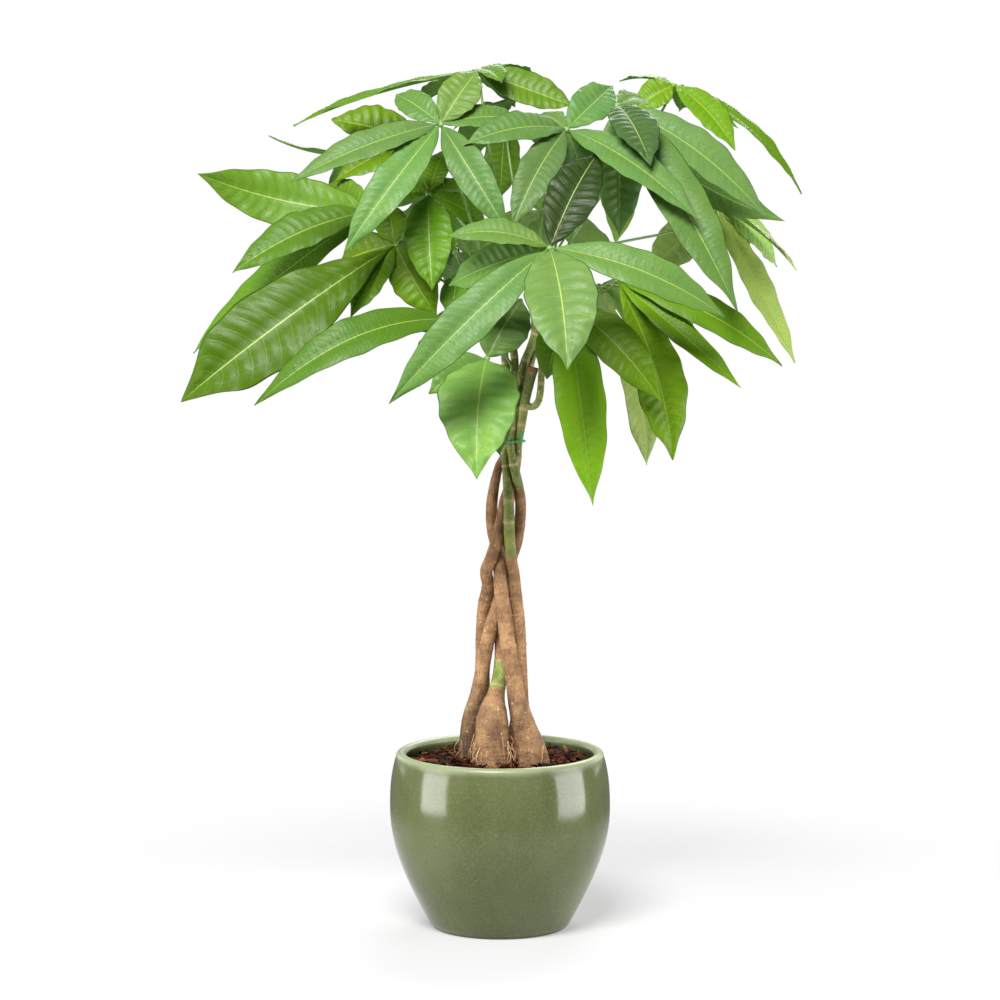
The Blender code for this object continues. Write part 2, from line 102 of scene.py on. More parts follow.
SIDE_SHOOT = Stem("side_shoot", 0.0, ((0.5, 0.75),), (
    (26, -9, 580, 3.4), (35, -11, 575, 3.8), (42.5, -12, 584, 3.8), (45, -12, 612, 3.7),
    (46, -14, 650, 3.7), (44, -20, 700, 3.5),
))

# The blades' colours. The cool tone is the upper leaves' bluish green, its blue partly painted sheen, and
# the pale tone is a lighter yellow-green for the leaves at the back, painted glow of the light shining
# through them.
TONES = {
    "cool": (0.106, 0.208, 0.050),
    "mid": (0.105, 0.230, 0.018),
    "fresh": (0.118, 0.245, 0.006),
    "pale": (0.290, 0.420, 0.115),
}

# Each leaf as in the CAD model, in millimetres, with its tone. A leaflet is its tip's place from the hub in
# x, y and z, its width, how far its back bows up, and how strongly its upper side turns to the front.
LEAVES = (
    Leaf("upper_front_left", "seedling_front_right", 686, "cool", (-63, -60, 881), (-0.2, -0.8, 0.6), (
        (39, 40, 56, 44, 8, 1), (-157, -45, -60, 38, 16, 0), (-101, -70, -133, 44, 18, 1),
        (72, -55, -113, 40, 14, 1), (86, 30, 5, 32, 8, 0), (-49, 55, 31, 34, 8, 0))),
    Leaf("upper_front", "side_shoot", 697, "cool", (71, -40, 875), (0.1, -0.7, 0.7), (
        (51, 75, 46, 44, 8, 1), (137, -92, -92, 46, 18, 0), (-59, -75, -103, 42, 14, 0.5),
        (-110, -50, -16, 42, 12, 0), (-30, 50, 14, 28, 6, 0), (18, 45, -70, 38, 10, 1))),
    Leaf("middle_front", "side_shoot", 684, "cool", (52, -150, 754), (0.0, -0.65, 0.75), (
        (17, -110, -119, 76, 14, 1), (-167, -50, -159, 50, 24, 1), (184, -5, -73, 46, 28, 0.5),
        (-107, 10, 11, 38, 12, 0), (52, 74, 97, 54, 10, 1), (-107, 60, -43, 44, 10, 1))),
    Leaf("middle_front_left", "seedling_back_right", 690, "fresh", (-77, -20, 806), (-0.1, -0.8, 0.6), (
        (5, -60, -101, 52, 10, 1), (-58, 58, -14, 34, 8, 0), (-10, 66, 28, 28, 6, 0),
        (18, 55, 45, 30, 6, 0), (56, 60, -8, 32, 8, 0), (64, 25, -38, 30, 8, 0))),
    Leaf("lower_left", "seedling_front_right", 645, "fresh", (-112, -30, 751), (-0.5, -0.45, 0.75), (
        (-226, -80, -162, 90, 30, 2), (-8, 30, 40, 36, 6, 1), (44, -20, -74, 48, 10, 1),
        (-48, -30, -76, 36, 8, 1), (-62, 20, -22, 46, 6, 1), (24, 50, -15, 30, 6, 0))),
    Leaf("middle_left", "seedling_back_right", 668, "mid", (-139, 25, 785), (-0.5, -0.3, 0.8), (
        (-190, 0, 41, 62, -38, 2), (-149, -50, -64, 50, 16, 1), (-58, 85, 22, 36, 8, 1),
        (-125, 95, -85, 44, 14, 1), (-199, 40, -158, 46, 20, 1))),
    Leaf("lower_front_left", "seedling_front_right", 614, "mid", (-48, -60, 673), (-0.4, -0.5, 0.75), (
        (-210, -82, -85, 46, 42, 1), (-38, 0, -72, 36, 8, 1), (-30, 80, -20, 34, 8, 0),
        (10, 60, 50, 34, 8, 0))),
    Leaf("lower_front", "seedling_left", 588, "cool", (-14, -70, 632), (-0.1, -0.75, 0.65), (
        (-10, -100, -118, 86, 16, 1), (-62, -20, -36, 40, 10, 1), (38, 30, 62, 58, 6, 1),
        (14, 10, -105, 40, 10, 1))),
    Leaf("lower_front_right", "side_shoot", 640, "fresh", (70, -70, 693), (0.2, -0.8, 0.5), (
        (28, -60, -212, 54, 20, 1), (102, -40, -104, 48, 16, 1), (-20, 25, -85, 42, 10, 1),
        (20, 50, 10, 34, 6, 0))),
    Leaf("lower_right", "seedling_left", 655, "fresh", (125, -50, 714), (0.4, -0.5, 0.75), (
        (177, -10, -91, 40, 32, 1), (130, -60, -110, 30, 12, 1), (90, 55, -71, 42, 10, 1),
        (60, -20, -191, 58, 18, 1), (48, 62, -16, 38, 8, 0))),
    Leaf("upper_right", "seedling_left", 690, "cool", (126, -20, 900), (0.3, -0.45, 0.85), (
        (160, -5, -120, 48, 20, 1), (185, 60, -126, 54, -26, 1), (32, -100, -61, 50, 10, 1),
        (30, 62, 4, 32, 6, 0), (123, -115, -213, 58, 24, 1), (2, -12, -138, 52, 10, 1))),
    Leaf("top_right", "seedling_left", 712, "fresh", (191, 80, 921), (0.3, -0.2, 0.9), (
        (142, 15, -120, 33, 20, 0.2), (75, 70, -48, 34, 2, 0.5), (65, -45, -70, 38, 10, 1),
        (-42, -10, -25, 36, 6, 1), (-59, 30, 4, 30, 6, 0), (10, 90, -30, 38, 8, 0))),
    Leaf("top_left", "seedling_centre", 704, "mid", (-23, 40, 936), (-0.1, -0.1, 1.0), (
        (-201, -20, -58, 42, 8, 0), (60, 45, -2, 34, 6, 0), (105, -10, -38, 42, 0, 1.5),
        (25, -50, -12, 34, 6, 0), (-70, 110, -45, 42, 10, 0), (40, 130, -40, 42, 10, 0))),
    Leaf("top_back", "seedling_centre", 712, "mid", (6, 100, 890), (0.0, 0.3, 1.0), (
        (-20, -60, 8, 34, 6, 0), (-6, 25, -95, 40, 8, 1), (-57, -30, -17, 36, 6, 0.5),
        (-50, 130, -70, 46, 14, 0), (60, 120, -60, 46, 14, 0))),
    Leaf("middle_right", "seedling_left", 700, "pale", (239, 120, 787), (0.5, 0.0, 0.85), (
        (72, 42, -70, 40, 10, 1), (88, -45, -69, 36, 8, 0), (90, -10, -174, 38, 6, 1),
        (-72, 20, -74, 50, 8, 1), (35, 125, -80, 44, 12, 0))),
    Leaf("middle_back", "seedling_centre", 693, "pale", (46, 110, 781), (0.0, 0.5, 0.85), (
        (-23, -60, 32, 30, 4, 0), (-31, 60, 6, 34, 6, 0), (0, 170, -70, 50, 16, 0),
        (95, 120, -80, 48, 14, 0), (-85, 110, -70, 48, 14, 0))),
    Leaf("upper_back_left", "seedling_back_right", 702, "fresh", (-88, 100, 860), (-0.3, 0.3, 0.9), (
        (-98, -10, 23, 54, 4, 1.5), (-171, 60, 4, 32, -20, 0), (-94, -30, -44, 44, 10, 1.5),
        (-110, 110, -60, 46, 14, 0), (-20, 150, -60, 46, 14, 0))),
    Leaf("lower_back_right", "seedling_centre", 660, "pale", (110, 90, 700), (0.3, 0.5, 0.8), (
        (52, -30, -196, 50, 18, 1), (85, 60, -15, 46, 10, 0), (50, 150, -70, 50, 16, 0),
        (-30, 160, -100, 48, 16, 0))),
    Leaf("lower_back_left", "seedling_back_right", 645, "mid", (-50, 135, 735), (-0.3, 0.5, 0.8), (
        (-48, 60, 12, 40, 8, 0), (-40, 170, -70, 50, 16, 0), (25, 160, -100, 50, 16, 0),
        (40, 50, -60, 40, 10, 0))),
    Leaf("back_left", "seedling_back_right", 684, "mid", (-60, 190, 800), (-0.2, 0.6, 0.8), (
        (-150, 10, -60, 46, 16, 0), (-70, 140, -100, 46, 14, 0), (45, 125, -100, 46, 14, 0),
        (64, 25, -34, 38, 10, 0))),
    Leaf("back_right", "seedling_centre", 680, "pale", (120, 180, 830), (0.3, 0.5, 0.85), (
        (120, 10, -45, 44, 14, 0), (15, 140, -95, 46, 14, 0), (-80, 105, -85, 46, 14, 0),
        (-60, 40, 10, 36, 6, 0))),
)


# ---- Mesh building ----

class Build:
    """Vertices, faces, materials and two point attributes of one piece, gathered shape by shape."""

    def __init__(self):
        self.points = []
        self.faces = []
        self.slots = []
        self.marks = []
        self.tints = []
        self.count = 0

    def add(self, points, faces, slot=0, marks=(0.0, 0.0, 0.0), tints=(1.0, 1.0, 1.0)):
        """slot and tints may be one value for the shape, or one for each face or point."""
        points = np.asarray(points, float)
        start, self.count = self.count, self.count + len(points)
        self.points.append(points)
        self.faces += [[corner + start for corner in face] for face in faces]
        self.slots += [slot] * len(faces) if isinstance(slot, int) else list(slot)
        self.marks.append(np.broadcast_to(marks, points.shape))
        self.tints.append(np.broadcast_to(tints, points.shape))

    def piece(self, name, materials, node):
        """The finished object, which stands for a CAD node."""
        mesh = bpy.data.meshes.new(name)
        mesh.from_pydata(np.concatenate(self.points).tolist(), [], self.faces)
        for own_material in materials:
            mesh.materials.append(own_material)
        mesh.polygons.foreach_set("material_index", self.slots)
        for label, rows in (("marks", self.marks), ("tint", self.tints)):
            layer = mesh.attributes.new(label, "FLOAT_VECTOR", "POINT")
            layer.data.foreach_set("vector", np.concatenate(rows).astype(np.float32).ravel())
        mesh.shade_smooth()
        mesh.validate()
        made = bpy.data.objects.new(name, mesh)
        bpy.context.scene.collection.objects.link(made)
        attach(made, BODY)
        if node:
            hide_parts(node)
        return made


def grid_faces(rows, columns, closed=True):
    """Quads between the rings of a lofted shape."""
    faces = []
    for row in range(rows - 1):
        for column in range(columns if closed else columns - 1):
            after = (column + 1) % columns
            low = row * columns
            high = low + columns
            faces.append((low + column, low + after, high + after, high + column))
    return faces


def capped_faces(rows, columns):
    """A lofted tube's faces, with both ends closed."""
    last = (rows - 1) * columns
    ends = [tuple(range(columns))[::-1], tuple(range(last, last + columns))]
    return grid_faces(rows, columns) + ends


def smooth_path(points, steps):
    """A Catmull-Rom curve through points of any size, with steps pieces to a span."""
    points = np.asarray(points, float)
    ends = np.concatenate([[2 * points[0] - points[1]], points, [2 * points[-1] - points[-2]]])
    before, start, end, after = ends[:-3], ends[1:-2], ends[2:-1], ends[3:]
    path = []
    for t in np.arange(steps) / steps:
        path.append(
            start
            + 0.5 * t * (end - before)
            + 0.5 * t ** 2 * (2 * before - 5 * start + 4 * end - after)
            + 0.5 * t ** 3 * (3 * start - before - 3 * end + after)
        )
    return np.concatenate([np.stack(path, 1).reshape(-1, points.shape[1]), points[-1:]])


def evenly(path, spacing):
    """The same curve with its points a fixed distance apart."""
    gone = np.concatenate([[0.0], np.cumsum(np.linalg.norm(np.diff(path[:, :3], axis=0), axis=1))])
    wanted = np.linspace(0.0, gone[-1], max(int(gone[-1] / spacing), 2) + 1)
    return np.stack([np.interp(wanted, gone, column) for column in path.T], 1), wanted


def frames(path):
    """For each point of a path, two directions across it, turned as little as can be along the way."""
    along = np.gradient(path, axis=0)
    along /= np.linalg.norm(along, axis=1)[:, None]
    across = np.empty_like(along)
    now = np.array(Vector(along[0]).orthogonal().normalized())
    for index, way in enumerate(along):
        now = now - way * now.dot(way)
        now /= np.linalg.norm(now)
        across[index] = now
    return along, across, np.cross(along, across)


def tube(path, radii, sides):
    """A tube's points, ring by ring, and the angle of each."""
    _, across, beside = frames(path)
    angles = np.arange(sides) * (2 * math.pi / sides)
    out = across[:, None] * np.cos(angles)[None, :, None] + beside[:, None] * np.sin(angles)[None, :, None]
    radii = np.broadcast_to(radii, len(path))
    return path[:, None] + out * radii[:, None, None], out


def ramp(value, low, high):
    """0 below low, 1 above high, and smooth between."""
    share = np.clip((value - low) / (high - low), 0.0, 1.0)
    return share * share * (3 - 2 * share)


# ---- Materials ----

class Nodes:
    """Short names for the shader nodes that the materials use."""

    def __init__(self, name):
        self.material = bpy.data.materials.new(name)
        self.material.use_nodes = True
        self.tree = self.material.node_tree
        self.shader = self.tree.nodes["Principled BSDF"]
        self.output = self.tree.nodes["Material Output"]

    def new(self, kind, inputs=(), **settings):
        node = self.tree.nodes.new(kind)
        for key, value in settings.items():
            setattr(node, key, value)
        for key, value in dict(inputs).items():
            self.put(node.inputs[key], value)
        return node

    def put(self, socket, value):
        if isinstance(value, bpy.types.NodeSocket):
            self.tree.links.new(value, socket)
        else:
            socket.default_value = value

    def attribute(self, name):
        return self.new("ShaderNodeAttribute", attribute_name=name).outputs["Vector"]

    def split(self, vector):
        return self.new("ShaderNodeSeparateXYZ", {"Vector": vector}).outputs

    def place(self):
        return self.new("ShaderNodeTexCoord").outputs["Object"]

    def stretched(self, scale):
        return self.new("ShaderNodeMapping", {"Vector": self.place(), "Scale": scale}).outputs["Vector"]

    def math(self, operation, first, second=0.0, third=0.0):
        node = self.new("ShaderNodeMath", operation=operation)
        for socket, value in zip(node.inputs, (first, second, third)):
            self.put(socket, value)
        return node.outputs[0]

    def noise(self, vector, scale, detail=4.0, rough=0.55):
        inputs = {"Vector": vector, "Scale": scale, "Detail": detail, "Roughness": rough}
        return self.new("ShaderNodeTexNoise", inputs).outputs["Fac"]

    def cells(self, vector, scale, feature="F1"):
        node = self.new("ShaderNodeTexVoronoi", {"Vector": vector, "Scale": scale}, feature=feature)
        return node.outputs["Distance"]

    def span(self, value, low, high, start=0.0, end=1.0):
        """value from low to high as start to end, smooth and held outside."""
        node = self.new("ShaderNodeMapRange", interpolation_type="SMOOTHSTEP")
        keys = ("Value", "From Min", "From Max", "To Min", "To Max")
        for key, number in zip(keys, (value, low, high, start, end)):
            self.put(node.inputs[key], number)
        return node.outputs[0]

    def mix(self, share, first, second, blend="MIX"):
        node = self.new("ShaderNodeMix", data_type="RGBA", blend_type=blend)
        self.put(node.inputs[0], share)
        for socket, colour in zip((node.inputs[6], node.inputs[7]), (first, second)):
            self.put(socket, (*colour, 1.0) if isinstance(colour, tuple) else colour)
        return node.outputs[2]

    def bump(self, height, distance, strength=1.0):
        node = self.new("ShaderNodeBump", {"Height": height, "Distance": distance, "Strength": strength})
        return node.outputs["Normal"]

    def finish(self, colour, roughness, normal=None, **constants):
        self.put(self.shader.inputs["Base Color"], colour)
        self.put(self.shader.inputs["Roughness"], roughness)
        if normal:
            self.put(self.shader.inputs["Normal"], normal)
        for key, value in constants.items():
            self.shader.inputs[key.replace("_", " ")].default_value = value
        return self.material


VEIN_SWEEP = 0.085  # how far along the blade a side vein runs on its way to the edge


def blade_material(name, upper):
    """A leaf's skin: a pale midrib and side veins over a mottled green that lets light through."""
    n = Nodes(name)
    along, across, veins = n.split(n.attribute("marks"))
    out = n.math("ABSOLUTE", across)
    side = n.math("MULTIPLY", n.math("GREATER_THAN", across, 0.0), 0.45)
    reach = n.math("MULTIPLY", n.math("POWER", out, 1.4), VEIN_SWEEP)
    phase = n.math("ADD", n.math("MULTIPLY", n.math("SUBTRACT", along, reach), veins), side)
    away = n.math("ABSOLUTE", n.math("SUBTRACT", n.math("FRACT", phase), 0.5))
    side_vein = n.math("MULTIPLY", n.span(away, 0.41, 0.5), n.span(out, 0.98, 0.75))
    midrib = n.span(out, 0.028, 0.010)
    place = n.place()
    base = n.attribute("tint")
    patches = n.span(n.noise(place, 45.0), 0.35, 0.7)
    grain = n.noise(place, 420.0, 3.0)
    green = n.mix(n.math("MULTIPLY", patches, 0.35), base, n.mix(1.0, base, (1.35, 1.12, 0.6), "MULTIPLY"))
    green = n.mix(0.22, green, n.mix(grain, (0.35, 0.35, 0.35), (1.5, 1.5, 1.5)), "MULTIPLY")
    if upper:
        vein_green, rib_green, vein_share, rib_share = (0.20, 0.36, 0.06), (0.46, 0.56, 0.13), 0.16, 0.75
    else:
        green = n.mix(0.45, green, (0.22, 0.36, 0.13))
        vein_green, rib_green, vein_share, rib_share = (0.32, 0.46, 0.20), (0.45, 0.56, 0.28), 0.5, 0.8
    green = n.mix(n.math("MULTIPLY", side_vein, vein_share), green, vein_green)
    green = n.mix(n.math("MULTIPLY", midrib, rib_share), green, rib_green)
    green = n.mix(n.span(out, 0.955, 0.995, 0.0, 0.55), green, (0.035, 0.075, 0.012))
    net = n.cells(place, 420.0, "DISTANCE_TO_EDGE")
    net_relief = n.math("MULTIPLY", n.span(net, 0.0, 0.12), 0.4)
    relief = n.math("ADD", net_relief, n.math("MULTIPLY", side_vein, -1.2))
    normal = n.bump(relief, 0.00022, 0.6)
    roughness = n.span(n.noise(place, 90.0), 0.3, 0.7, 0.33 if upper else 0.5, 0.43 if upper else 0.64)
    n.finish(green, roughness, normal, Specular_IOR_Level=0.22)
    glow = n.new("ShaderNodeBsdfTranslucent", {"Normal": normal})
    n.put(glow.inputs["Color"], n.mix(1.0, green, (1.45, 1.55, 0.45), "MULTIPLY"))
    both = n.new("ShaderNodeMixShader", {0: 0.28 if upper else 0.40})
    n.put(both.inputs[1], n.shader.outputs[0])
    n.put(both.inputs[2], glow.outputs[0])
    n.put(n.output.inputs["Surface"], both.outputs[0])
    return n.material


def stalk_material():
    """Leaf stalks and hubs: smooth green, a little paler in streaks."""
    n = Nodes("stalk")
    streaks = n.noise(n.stretched((500.0, 500.0, 60.0)), 1.0)
    colour = n.mix(n.span(streaks, 0.35, 0.7), (0.10, 0.21, 0.035), (0.20, 0.33, 0.075))
    colour = n.mix(0.6, colour, n.attribute("tint"), "MULTIPLY")
    return n.finish(colour, n.span(streaks, 0.3, 0.7, 0.38, 0.5), n.bump(streaks, 0.0002))


def bark_material():
    """Tan bark, olive green where the stem is young, with streaks, bands, specks and darker patches low
    down.
    """
    n = Nodes("bark")
    green_share, foot_patch_share, pale = n.split(n.attribute("marks"))
    place = n.place()
    streaks = n.noise(n.stretched((520.0, 520.0, 95.0)), 1.0, 5.0, 0.65)
    bands = n.noise(n.stretched((60.0, 60.0, 420.0)), 1.0, 4.0, 0.6)
    broad = n.noise(place, 60.0, 5.0, 0.6)
    tan = n.mix(n.span(broad, 0.32, 0.68), (0.155, 0.082, 0.036), (0.335, 0.190, 0.090))
    tan = n.mix(n.span(streaks, 0.35, 0.70, 0.0, 0.75), tan, n.mix(1.0, tan, (1.55, 1.45, 1.35), "MULTIPLY"))
    tan = n.mix(n.span(bands, 0.58, 0.74, 0.0, 0.3), tan, (0.150, 0.084, 0.044))
    # Darker mottled patches towards each seedling's foot.
    foot_mottle = n.noise(n.stretched((85.0, 85.0, 16.0)), 1.0, 6.0, 0.7)
    foot_patches = n.math("MULTIPLY", n.span(foot_mottle, 0.36, 0.64, 0.30, 0.90), foot_patch_share)
    tan = n.mix(foot_patches, tan, (0.060, 0.034, 0.019))
    green = n.mix(n.span(broad, 0.35, 0.65), (0.110, 0.145, 0.020), (0.245, 0.275, 0.062))
    green = n.mix(n.span(streaks, 0.45, 0.75, 0.0, 0.45), green, (0.290, 0.290, 0.105))
    worn = n.math("MULTIPLY_ADD", green_share, 1.0, n.math("MULTIPLY", n.math("SUBTRACT", bands, 0.5), 1.6))
    worn = n.math("ADD", worn, n.math("MULTIPLY", n.math("SUBTRACT", broad, 0.5), 2.2))
    colour = n.mix(n.span(worn, 0.44, 0.60), tan, green)
    specks = n.span(n.cells(place, 330.0), 0.26, 0.14)
    colour = n.mix(n.math("MULTIPLY", specks, 0.55), colour, (0.055, 0.032, 0.018))
    colour = n.mix(n.math("MULTIPLY", pale, 0.85), colour, (0.780, 0.520, 0.290))
    cracks = n.cells(n.stretched((300.0, 300.0, 120.0)), 1.0, "DISTANCE_TO_EDGE")
    crack_relief = n.math("MULTIPLY", n.span(cracks, 0.0, 0.15), 0.35)
    relief = n.math("ADD", n.math("ADD", streaks, bands), crack_relief)
    roughness = n.math("MULTIPLY_ADD", green_share, -0.20, 0.72)
    return n.finish(colour, roughness, n.bump(relief, 0.0011, 0.9), Specular_IOR_Level=0.35)


def glaze_material():
    """Sage glaze, mottled and finely speckled, thin and pale on the lip, and glossy."""
    n = Nodes("sage_glaze")
    place = n.place()
    _, _, height = n.split(place)
    clouds = n.noise(n.stretched((16.0, 16.0, 9.0)), 1.0, 5.0, 0.6)
    mottle = n.noise(place, 400.0, 4.0, 0.75)
    speck = n.noise(place, 560.0, 3.0, 0.8)
    colour = n.mix(n.span(clouds, 0.32, 0.68), (0.066, 0.080, 0.029), (0.088, 0.105, 0.042))
    colour = n.mix(n.span(mottle, 0.44, 0.66, 0.0, 0.30), colour, (0.160, 0.182, 0.084))
    colour = n.mix(n.span(speck, 0.56, 0.70, 0.0, 0.40), colour, (0.060, 0.062, 0.020))
    edge = n.math("ADD", height, n.math("MULTIPLY", n.math("SUBTRACT", clouds, 0.5), 0.008))
    colour = n.mix(n.span(edge, 0.186, 0.194, 0.0, 0.6), colour, (0.300, 0.350, 0.200))
    # Painted shade: the glaze is darker at the very foot, where the pot meets the floor.
    colour = n.mix(n.span(edge, 0.007, 0.001, 0.0, 0.5), colour, (0.060, 0.070, 0.034))
    waves = n.noise(place, 48.0, 2.0)
    relief = n.math("ADD", waves, n.math("MULTIPLY", speck, 0.05))
    return n.finish(
        colour, n.math("ADD", n.span(speck, 0.3, 0.7, 0.09, 0.17), n.span(height, 0.182, 0.190, 0.0, 0.22)),
        n.bump(relief, 0.0003, 0.45), Specular_IOR_Level=0.38)


def mulch_material():
    """Bark chips, each with its own tint, with fibrous streaks."""
    n = Nodes("bark_mulch")
    place = n.place()
    streaks = n.noise(n.stretched((300.0, 900.0, 900.0)), 1.0, 4.0)
    colour = n.mix(n.span(streaks, 0.3, 0.7, 0.1, 1.0), (0.24, 0.20, 0.17), (1.20, 1.08, 0.95))
    colour = n.mix(1.0, n.attribute("tint"), colour, "MULTIPLY")
    rough = n.span(streaks, 0.3, 0.7, 0.55, 0.85)
    return n.finish(colour, rough, n.bump(n.noise(place, 600.0), 0.0005), Specular_IOR_Level=0.06)


def wire_material():
    """The tie's green plastic sleeve."""
    n = Nodes("green_sleeve")
    scuffs = n.noise(n.place(), 1500.0)
    colour = n.mix(n.span(scuffs, 0.4, 0.7), (0.020, 0.30, 0.095), (0.070, 0.46, 0.17))
    return n.finish(colour, n.span(scuffs, 0.3, 0.7, 0.22, 0.38), n.bump(scuffs, 0.0001))


# ---- Leaves ----

STALK_SHARE = 0.03  # how much of a leaflet is its stalk
SWELL_POWER = 0.9  # below 1 a blade is widest before its middle, and above 1 after it
# The swell power of the leaflets that differ, by the leaf's name and the leaflet's place in it.
SWELL_POWERS = {
    ("lower_left", 0): 1.3, ("lower_right", 3): 1.1, ("lower_back_right", 0): 1.55, ("lower_front", 0): 0.77,
}
STALK_HALF = 0.0013
STEPS_PER_VEIN = 6
ACROSS_STEPS = 12
KEEL = 0.16  # how far a blade's edges stand above its midrib, for each unit of half width
VEIN_SPACING = 0.2  # from one side vein to the next, for each unit of the blade's width
# Painted light and shade: how much lighter or darker a leaflet is painted beside the rest of its leaf,
# by the leaf's name and the leaflet's place in it.
LEAFLET_PAINTED_LIGHT = {
    ("middle_front", 0): 1.15, ("middle_front", 4): 0.24, ("middle_front", 1): 0.95,
    ("middle_left", 1): 0.75, ("lower_left", 0): 0.64, ("lower_front_left", 0): 0.78,
    ("lower_front_right", 0): 1.65, ("lower_right", 3): 1.4, ("middle_right", 0): 1.35,
    ("middle_right", 1): 1.35, ("middle_right", 2): 1.35, ("upper_front_left", 2): 1.3,
    ("lower_front", 0): 1.5, ("top_right", 1): 0.8, ("upper_right", 2): 0.6, ("upper_front", 2): 0.8,
}
QUILT = 0.0026  # how far the skin of a 50 mm blade stands up between two side veins
RUFFLE = 0.046  # how far the edges wave, for each unit of width
SKIN = 0.0005
RIB = 0.0013
PETIOLE_RADIUS = 0.0016
HUB_RADIUS = 0.0036  # rounder and smaller than the CAD hub's diamond


def outline(on, t, width, swell_power, phase):
    """A blade's half width at each point of its length."""
    swell = np.sin(np.pi * np.clip(on, 1e-6, 1 - 1e-6) ** swell_power) ** 0.78
    swell = swell * (1 - 0.45 * ramp(on, 0.80, 1.0))
    uneven = 1 + 0.025 * np.sin(on * 33 + phase)
    return np.maximum(0.5 * width * swell * uneven, STALK_HALF * (1 - 0.85 * t))


def skin_lift(on, v, half, width, veins, phase, leafy):
    """How far a blade's skin stands above its midrib: its keel, its quilting and its waved edges."""
    order = veins * (on - VEIN_SWEEP * np.abs(v) ** 1.4) + 0.45 * (v > 0)
    bulge = np.abs(np.sin(np.pi * order)) ** 0.8
    inside = np.sin(np.pi * np.clip(np.abs(v) / 0.95, 0, 1)) ** 0.7
    quilt = QUILT * (width / 0.05) * bulge * inside * leafy * (1 - ramp(on, 0.85, 1.0))
    waves = RUFFLE * width * v ** 2 * leafy * (
        np.sin(on * 16 + phase + v) + 0.5 * np.sin(on * 41 + 2 * phase - 2 * v)) * 0.6
    return np.abs(v) ** 0.9 * half * KEEL * leafy + quilt + waves


def thickness(on, v, half, leafy):
    """How far a blade's upper and lower skins stand from its middle sheet."""
    round_off = np.sqrt(np.clip(1 - v ** 2, 0.0, 1.0))
    thin = SKIN * round_off ** 0.5
    rib = RIB * np.exp(-(v * half / (RIB * 0.9)) ** 2) * (1 - 0.75 * on) * round_off
    stalk_half = STALK_HALF * round_off
    above = leafy * (thin * 0.5 + rib * 0.15) + (1 - leafy) * stalk_half
    below = leafy * (thin * 0.5 + rib) + (1 - leafy) * stalk_half
    return above, below


def blade(build, hub, facing, leaflet, swell_power, tint, rng):
    """One leaflet as a closed thin solid, quilted between its veins and waved along its edges."""
    reach, width, bow = Vector(leaflet[:3]) * MM, leaflet[3] * MM, leaflet[4] * MM
    length = reach.length
    along = reach / length
    face = facing + FRONT * leaflet[5]
    face = (face - along * face.dot(along)).normalized()
    side = np.array(along.cross(face))
    face, reach, hub = np.array(face), np.array(reach), np.array(hub)
    sway, twist, phase = rng.uniform(-0.025, 0.025), rng.uniform(-0.25, 0.25), rng.uniform(0, 6.3)
    veins = max(round(length * (1 - STALK_SHARE) / (VEIN_SPACING * width)), 5)

    t = np.linspace(0.0, 1.0, veins * STEPS_PER_VEIN + 1)[:, None]
    v = np.sin(np.linspace(-0.5, 0.5, ACROSS_STEPS + 1) * math.pi * 0.94)[None, :] / math.sin(0.47 * math.pi)
    on = np.clip((t - STALK_SHARE) / (1 - STALK_SHARE), 0.0, 1.0)
    half = outline(on, t, width, swell_power, phase)
    leafy = ramp(on, 0.0, 0.10)
    turned_by = twist * (t - 0.5) * leafy
    across = side * np.cos(turned_by)[..., None] + face * np.sin(turned_by)[..., None]
    upward = face * np.cos(turned_by)[..., None] - side * np.sin(turned_by)[..., None]
    lift = skin_lift(on, v, half, width, veins, phase, leafy)
    middle = hub + reach * t[..., None] + face * (bow * 4 * t * (1 - t))[..., None]
    middle = middle + side * (sway * length * np.sin(np.pi * t))[..., None]
    sheet = middle + across * (v * half)[..., None] + upward * lift[..., None]
    above, below = thickness(on, v, half, leafy)
    top = sheet + upward * above[..., None]
    bottom = (sheet - upward * below[..., None])[:, 1:-1]
    marks = np.stack(np.broadcast_arrays(on, v, float(veins)), -1)
    add_blade(build, top, bottom, marks, tint)


def add_blade(build, top, bottom, marks, tint):
    """Joins a blade's upper and lower skins along its edges and closes its two ends."""
    rows, columns = top.shape[:2]
    inner = columns - 2
    upper = np.arange(rows * columns).reshape(rows, columns)
    under = upper.copy()
    under[:, 1:-1] = rows * columns + np.arange(rows * inner).reshape(rows, inner)
    faces = []
    slots = []
    for row in range(rows - 1):
        for column in range(columns - 1):
            corners = ((row, column), (row + 1, column), (row + 1, column + 1), (row, column + 1))
            faces.append([int(upper[corner]) for corner in corners])
            faces.append([int(under[corners[place]]) for place in (0, 3, 2, 1)])
            slots += [0, 1]
    for row, turn in ((0, 1), (rows - 1, -1)):
        ring = [*upper[row], *under[row, -2:0:-1]]
        faces.append([int(corner) for corner in ring[::turn]])
        slots.append(1)
    points = np.concatenate([top.reshape(-1, 3), bottom.reshape(-1, 3)])
    both = np.concatenate([marks.reshape(-1, 3), marks[:, 1:-1].reshape(-1, 3)])
    build.add(points, faces, slots, both, tint)


def stem_at(stem, height):
    """Where a shoot's centre line reaches a height, and its radius there."""
    path = smooth_path(stem.points, 8) * MM
    rising = np.maximum.accumulate(path[:, 2])
    found = [np.interp(height, rising, path[:, column]) for column in range(4)]
    return Vector(found[:3]), found[3]


